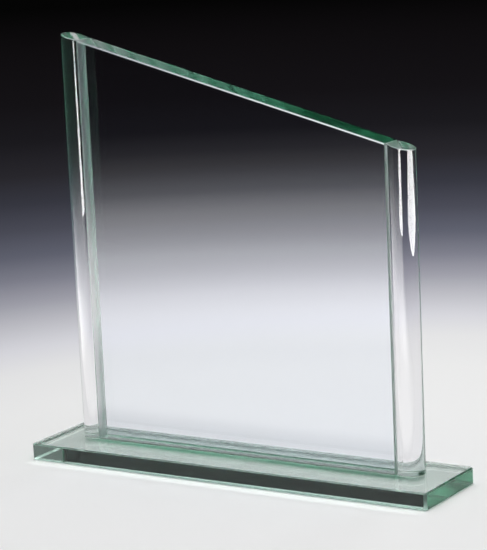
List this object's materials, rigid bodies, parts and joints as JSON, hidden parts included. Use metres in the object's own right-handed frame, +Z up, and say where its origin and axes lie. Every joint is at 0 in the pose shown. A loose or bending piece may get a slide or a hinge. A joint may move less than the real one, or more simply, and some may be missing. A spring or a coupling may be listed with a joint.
{
  "type": "glass award",
  "caption": "Free-standing glass award: a clear upright panel with a sloping top edge, set between solid glass rods on a flat rectangular base plate.",
  "frame": {"origin": "centre of the base plate's underside, which is the face the award stands on", "axes": "+X along the base plate to the low side of the slope, +Y to the back, +Z up; the award is seen from -Y"},
  "size_m": [0.26, 0.057, 0.2478],
  "materials": {
    "plate_glass": "polished plate glass, green where it is seen through its edges",
    "rod_glass": "clear drawn rod with polished ends",
    "cured_adhesive": "clear, cured hard"
  },
  "bodies": {
    "root": {"base_plate": "plate_glass", "glass_panel": "plate_glass", "left_rod": "rod_glass", "right_rod": "rod_glass", "panel_foot_adhesive": "cured_adhesive", "left_rod_foot_adhesive": "cured_adhesive", "right_rod_foot_adhesive": "cured_adhesive", "left_rod_side_adhesive": "cured_adhesive", "right_rod_side_adhesive": "cured_adhesive"}
  },
  "joints": []
}
